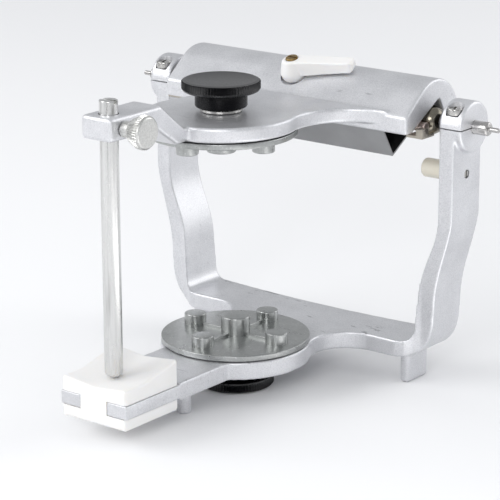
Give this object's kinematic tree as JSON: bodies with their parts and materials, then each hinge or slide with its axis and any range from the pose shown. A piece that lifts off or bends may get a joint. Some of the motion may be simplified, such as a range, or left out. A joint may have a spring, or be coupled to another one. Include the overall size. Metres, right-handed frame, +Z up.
{
  "type": "dental articulator",
  "caption": "Hinged jaw simulator: a cast lower frame with a white incisal table carries a sprung, opening upper arm with mounting plates, black knobs and an incisal pin.",
  "frame": {"origin": "middle of the footprint, on the ground under the feet", "axes": "+X to the object's side with the thumbscrew and lever handle, along the hinge axis; +Y from the incisal pin back to the hinge; +Z up"},
  "size_m": [0.15, 0.1276, 0.1089],
  "materials": {
    "silver_paint": "satin silver paint over a cast surface",
    "plate_metal": "satin machined",
    "polished_steel": "polished, with fine lengthwise lines",
    "nickel": "nickel plated",
    "zinc_plating": "dull zinc plating",
    "brass": "turned",
    "black_plastic": "satin black, straight knurl on the rim",
    "white_plastic": "satin white acetal",
    "ivory_plastic": "ivory nylon",
    "dark_metal": "dark",
    "dark_paint": "matte dark grey"
  },
  "bodies": {
    "lower": {"lower_frame": "silver_paint", "incisal_table": "white_plastic", "lower_mounting_plate": "plate_metal", "lower_washer": "nickel", "condyle_shaft_left": "polished_steel", "condyle_shaft_right": "polished_steel", "clamp_screw_left": "nickel", "clamp_screw_right": "nickel", "opening_stop_left": "ivory_plastic", "opening_stop_right": "ivory_plastic", "stop_screw_left": "nickel", "stop_screw_right": "nickel", "spacer_ring_left": "dark_metal", "spacer_ring_right": "dark_metal"},
    "lower_knob": {"lower_knob": "black_plastic", "lower_stud": "polished_steel"},
    "carriage": {"condyle_ball_left": "polished_steel", "condyle_ball_right": "polished_steel", "carriage_plate_left": "zinc_plating", "carriage_plate_right": "zinc_plating", "centring_rod": "polished_steel", "return_spring_left": "dark_metal", "return_spring_right": "dark_metal"},
    "upper": {"upper_frame": "silver_paint", "under_cover": "dark_paint", "cover_screw_left": "nickel", "cover_screw_right": "nickel", "spring_anchor_rod": "polished_steel", "upper_mounting_plate": "plate_metal", "upper_washer": "nickel"},
    "upper_knob": {"upper_knob": "black_plastic", "upper_stud": "polished_steel"},
    "incisal_pin": {"incisal_pin": "polished_steel"},
    "thumbscrew": {"pin_thumbscrew": "nickel"},
    "lever": {"lock_lever": "white_plastic", "lever_screw": "brass", "lock_shaft": "polished_steel"}
  },
  "joints": [
    {"name": "opening", "type": "hinge", "parent": "lower", "child": "carriage", "pos_m": [0, 0.0508, 0.09], "axis": [-1, 0, 0], "range_deg": [0, 95]},
    {"name": "protrusion", "type": "slide", "parent": "carriage", "child": "upper", "axis": [0, 0.866, 0.5], "range_m": [0, 0.004], "stiffness_N_per_m": 600, "springref_m": -0.006, "deforming": ["return_spring_left", "return_spring_right"]},
    {"name": "pin_height", "type": "slide", "parent": "upper", "child": "incisal_pin", "axis": [0, 0, 1], "range_m": [0, 0.012]},
    {"name": "thumbscrew_turn", "type": "hinge", "parent": "upper", "child": "thumbscrew", "pos_m": [0, -0.0538, 0.1005], "axis": [1, 0, 0], "continuous": true},
    {"name": "upper_knob_turn", "type": "hinge", "parent": "upper", "child": "upper_knob", "pos_m": [0, 0.00108, 0.0953], "axis": [0, 0, 1], "continuous": true},
    {"name": "lower_knob_turn", "type": "hinge", "parent": "lower", "child": "lower_knob", "pos_m": [0, 0.00795, 0.0096], "axis": [0, 0, 1], "continuous": true},
    {"name": "lock_lever_turn", "type": "hinge", "parent": "upper", "child": "lever", "pos_m": [-0.0011, 0.0421, 0.1007], "axis": [0, -0.2924, 0.9563], "range_deg": [-90, 0]}
  ]
}
